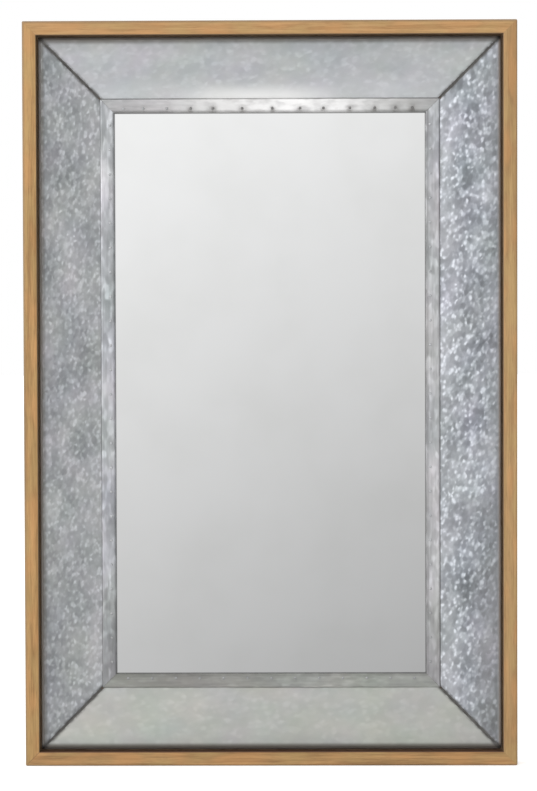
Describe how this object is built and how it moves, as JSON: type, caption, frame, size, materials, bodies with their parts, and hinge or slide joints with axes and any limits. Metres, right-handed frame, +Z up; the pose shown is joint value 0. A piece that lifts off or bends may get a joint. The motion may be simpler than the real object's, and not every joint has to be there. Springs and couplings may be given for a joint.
{
  "type": "leaning mirror",
  "caption": "Upright rectangular mirror in a mitred wood outer frame with a wide galvanized metal bevel falling in to the glass, and swinging hanger rings on the back.",
  "frame": {"origin": "centre of the underside of the bottom rail", "axes": "+X to the right seen from the front, +Y to the back, +Z up"},
  "size_m": [0.813, 0.057, 1.228],
  "materials": {
    "oiled_wood": "satin",
    "core_wood": "matte",
    "core_board": "matte",
    "galvanized_sheet": "satin",
    "silvered_glass": "polished",
    "filler_card": "matte",
    "hardboard": "satin",
    "zinc_steel": "satin",
    "bumper_rubber": "matte"
  },
  "bodies": {
    "frame": {"outer_rail_bottom": "oiled_wood", "ledger_bottom": "core_wood", "bevel_board_bottom": "core_board", "inner_batten_bottom": "core_wood", "galvanized_panel_bottom": "galvanized_sheet", "sight_strip_bottom": "galvanized_sheet", "outer_rail_top": "oiled_wood", "ledger_top": "core_wood", "bevel_board_top": "core_board", "inner_batten_top": "core_wood", "galvanized_panel_top": "galvanized_sheet", "sight_strip_top": "galvanized_sheet", "outer_rail_left": "oiled_wood", "ledger_left": "core_wood", "bevel_board_left": "core_board", "inner_batten_left": "core_wood", "galvanized_panel_left": "galvanized_sheet", "sight_strip_left": "galvanized_sheet", "outer_rail_right": "oiled_wood", "ledger_right": "core_wood", "bevel_board_right": "core_board", "inner_batten_right": "core_wood", "galvanized_panel_right": "galvanized_sheet", "sight_strip_right": "galvanized_sheet", "corner_brace_bottom_left": "zinc_steel", "corner_brace_top_left": "zinc_steel", "corner_brace_top_right": "zinc_steel", "corner_brace_bottom_right": "zinc_steel", "mirror_glass": "silvered_glass", "filler_card": "filler_card", "back_panel": "hardboard", "hanger_strap_left": "zinc_steel", "hanger_strap_right": "zinc_steel", "ledger_screws": "zinc_steel", "back_panel_screws": "zinc_steel", "brace_screws": "zinc_steel", "hanger_screws": "zinc_steel", "strip_tacks": "galvanized_sheet", "wall_bumpers": "bumper_rubber"},
    "ring_left": {"hanger_ring_left": "zinc_steel"},
    "ring_right": {"hanger_ring_right": "zinc_steel"}
  },
  "joints": [
    {"name": "ring_left_swing", "type": "hinge", "parent": "frame", "child": "ring_left", "pos_m": [-0.392, 0.02781, 0.928], "axis": [-1, 0, 0], "range_deg": [0, 178]},
    {"name": "ring_right_swing", "type": "hinge", "parent": "frame", "child": "ring_right", "pos_m": [0.392, 0.02781, 0.928], "axis": [-1, 0, 0], "range_deg": [0, 178]}
  ]
}
